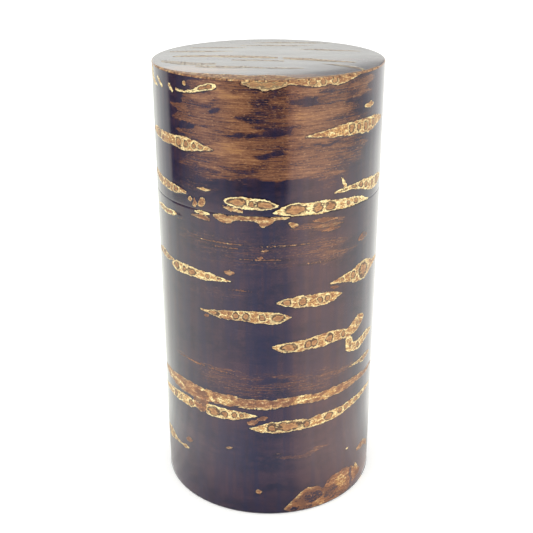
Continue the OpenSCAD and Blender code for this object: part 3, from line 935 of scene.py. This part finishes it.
def staged(name, points, faces, material):
    """A floor, tent or card, which isn't part of the caddy"""
    mesh = bpy.data.meshes.new(name)
    mesh.from_pydata(points, [], faces)
    mesh.materials.append(material)
    made = added(name, mesh)
    return made


def reflected_only(made):
    made.visible_camera = made.visible_diffuse = made.visible_shadow = made.visible_transmission = False


def floor():
    """White paper, which glows a little so that it has no horizon"""
    n = Nodes("floor_paper")
    material = n.surface(base_color=(0.95, 0.95, 0.95, 1), roughness=0.9, emission_color=(1, 1, 1, 1),
                         emission_strength=FLOOR_GLOW)
    far = FLOOR_HALF
    corners = [(-far, -far, 0), (far, -far, 0), (far, far, 0), (-far, far, 0)]
    staged("floor", corners, [(0, 1, 2, 3)], material)


# What the polish reflects, low down and higher up: azimuth in degrees, 0 in front of the caddy and growing
# to the right, and then red, green and blue, up to 2
LOW_TENT = [
    (-178, 0.34, 0.36, 0.34), (-168, 0.56, 0.58, 0.55), (-158, 0.98, 1, 0.93), (-140, 1.1, 1.11, 1.03),
    (-104, 0.96, 0.97, 0.91), (-74, 1.05, 1, 0.98), (-44, 0.98, 0.88, 0.96), (-28, 0.8, 0.72, 0.86),
    (-15, 0.5, 0.52, 0.72), (-4, 0.42, 0.45, 0.66), (8, 0.48, 0.5, 0.68), (17, 0.6, 0.56, 0.7),
    (22, 1, 0.78, 0.82), (37, 1.52, 1.14, 1.04), (52, 1.55, 1.14, 1.02), (67, 1.36, 1.07, 0.97),
    (96, 0.98, 0.96, 0.92), (136, 1.16, 1.16, 1.11), (158, 1.06, 1.06, 1.01), (168, 0.62, 0.62, 0.6),
    (178, 0.36, 0.36, 0.35),
]
HIGH_TENT = [
    (-178, 0.34, 0.36, 0.34), (-168, 0.54, 0.56, 0.53), (-158, 0.9, 0.92, 0.86), (-144, 0.96, 0.97, 0.92),
    (-128, 0.9, 0.91, 0.88), (-110, 0.66, 0.65, 0.66), (-106, 0.06, 0.04, 0.1), (-94, 0.1, 0.08, 0.13),
    (-80, 0.32, 0.3, 0.38), (-64, 0.42, 0.44, 0.6), (-48, 0.36, 0.37, 0.5), (-30, 0.14, 0.12, 0.16),
    (-16, 0.02, 0.02, 0.06), (15, 0.02, 0.02, 0.06), (20, 0.65, 0.42, 0.45), (37, 1, 0.8, 0.76),
    (67, 0.92, 0.8, 0.76), (82, 0.5, 0.46, 0.48), (100, 0.6, 0.58, 0.58), (117, 0.85, 0.85, 0.84),
    (136, 1.02, 1.02, 1), (158, 1, 1, 0.97), (168, 0.62, 0.62, 0.6), (178, 0.36, 0.36, 0.35),
]

# The tent is a wall and a floor. Past TENT_OPEN degrees the wall is low, and the top disc reflects the card
TENT_COLUMNS = 88
TENT_OPEN = 154
TENT_R = 0.33
TENT_IN_R = OUTER_R * 1.01
TENT_FLOOR_Z = 0.0003
TENT_HIGH = 0.8
TENT_LOW = 0.19

# The low colours end at the wall's foot, and RIGHT_EDGE higher to the right of the front
RIGHT_EDGE = 0.035
EDGE_TURN = (math.radians(12), math.radians(28))
EDGE_BLEND = (0.004, 0.03)

# Brightness at the caddy's foot, and from SHADE_REACH away
FOOT_GLOW, TENT_GLOW = 1.1, 2.0
SHADE_REACH = 0.035

CARD_Y = 0.45
CARD_HALF = 0.8
CARD_HIGH = 1.2
CARD_EDGE_Z, CARD_EDGE_SLOPE = 0.252, -0.15
CARD_LOW_WHITE = (0.93, 0.93, 0.89, 1)
CARD_HIGH_WHITE = (1.22, 1.22, 1.17, 1)
CARD_GREY = (0.34, 0.33, 0.33, 1)


def tent_material():
    """Cloth that glows in the tent's colours, with soft upright folds"""
    n = Nodes("tent_cloth")
    x, y, z = n.position()
    azimuth = n.math("ARCTAN2", x, n.times(y, -1))
    turn = n.math("MULTIPLY_ADD", azimuth, 0.5 / math.pi, 0.5)
    low, high = (n.ramp(turn, [(0.5 + at / 360, (*(c / 2 for c in rgb), 1)) for at, *rgb in stops])
                 for stops in (LOW_TENT, HIGH_TENT))
    edge = n.rise(azimuth, *EDGE_TURN, 0.0, RIGHT_EDGE)
    share = n.rise(n.less(z, edge), *EDGE_BLEND)
    squared = n.math("ADD", n.times(x, x), n.times(y, y))
    away = n.less(n.math("POWER", squared, 0.5), OUTER_R)
    folds = n.noise(n.add("CombineXYZ", {"X": n.times(azimuth, 9)}), 4, 0.6)
    glow = n.rise(away, 0, SHADE_REACH, FOOT_GLOW, TENT_GLOW)
    strength = n.times(glow, n.rise(folds, 0.35, 0.65, 0.94, 1.06))
    light = n.add("Emission", {"Color": n.mix(share, low, high), "Strength": strength})
    n.add("OutputMaterial", {"Surface": light})
    return n.material


def tent_top_material():
    """The card behind, which the top disc reflects: white low down, and grey above an edge that falls to
    the right"""
    n = Nodes("tent_top_cloth")
    x, z = n.position("XZ")
    above = n.less(z, n.math("MULTIPLY_ADD", x, CARD_EDGE_SLOPE, CARD_EDGE_Z))
    white = n.mix(n.rise(z, 0.205, 0.245), CARD_LOW_WHITE, CARD_HIGH_WHITE)
    colour = n.mix(n.rise(above, -0.006, 0.01), white, CARD_GREY)
    n.add("OutputMaterial", {"Surface": n.add("Emission", {"Color": colour})})
    return n.material


def tent():
    """A light tent and a card behind it, which are seen only as reflections"""
    points, faces = [], []
    for k in range(TENT_COLUMNS + 1):
        turned = 180 * (2 * k / TENT_COLUMNS - 1)
        angle = math.radians(turned)
        high = TENT_HIGH if abs(turned) <= TENT_OPEN else TENT_LOW
        for r, z in [(TENT_IN_R, TENT_FLOOR_Z), (TENT_R, TENT_FLOOR_Z), (TENT_R, high)]:
            points.append((r * math.sin(angle), -r * math.cos(angle), z))
    for k in range(TENT_COLUMNS):
        for ring in (0, 1):
            first = 3 * k + ring
            faces.append((first, first + 3, first + 4, first + 1))
    reflected_only(staged("tent", points, faces, tent_material()))
    low, high = [[(x, CARD_Y, z) for x in (-CARD_HALF, CARD_HALF)] for z in (TENT_LOW, CARD_HIGH)]
    reflected_only(staged("tent_top", low + high[::-1], [(0, 1, 2, 3)], tent_top_material()))


def lights():
    world = bpy.data.worlds.new("world")
    bpy.context.scene.world = world
    world.use_nodes = True
    background = world.node_tree.nodes["Background"]
    background.inputs["Color"].default_value = WORLD_COLOUR
    background.inputs["Strength"].default_value = WORLD_STRENGTH
    for name, place, size, power in LAMPS:
        data = bpy.data.lights.new(name, "AREA")
        data.size, data.energy = size, power
        made = added(name, data)
        made.location = place
        made.rotation_mode = "QUATERNION"
        made.rotation_quaternion = (-Vector(place)).to_track_quat("-Z", "Y")


camera()
floor()
tent()
lights()
bpy.context.scene.view_settings.view_transform = "Standard"
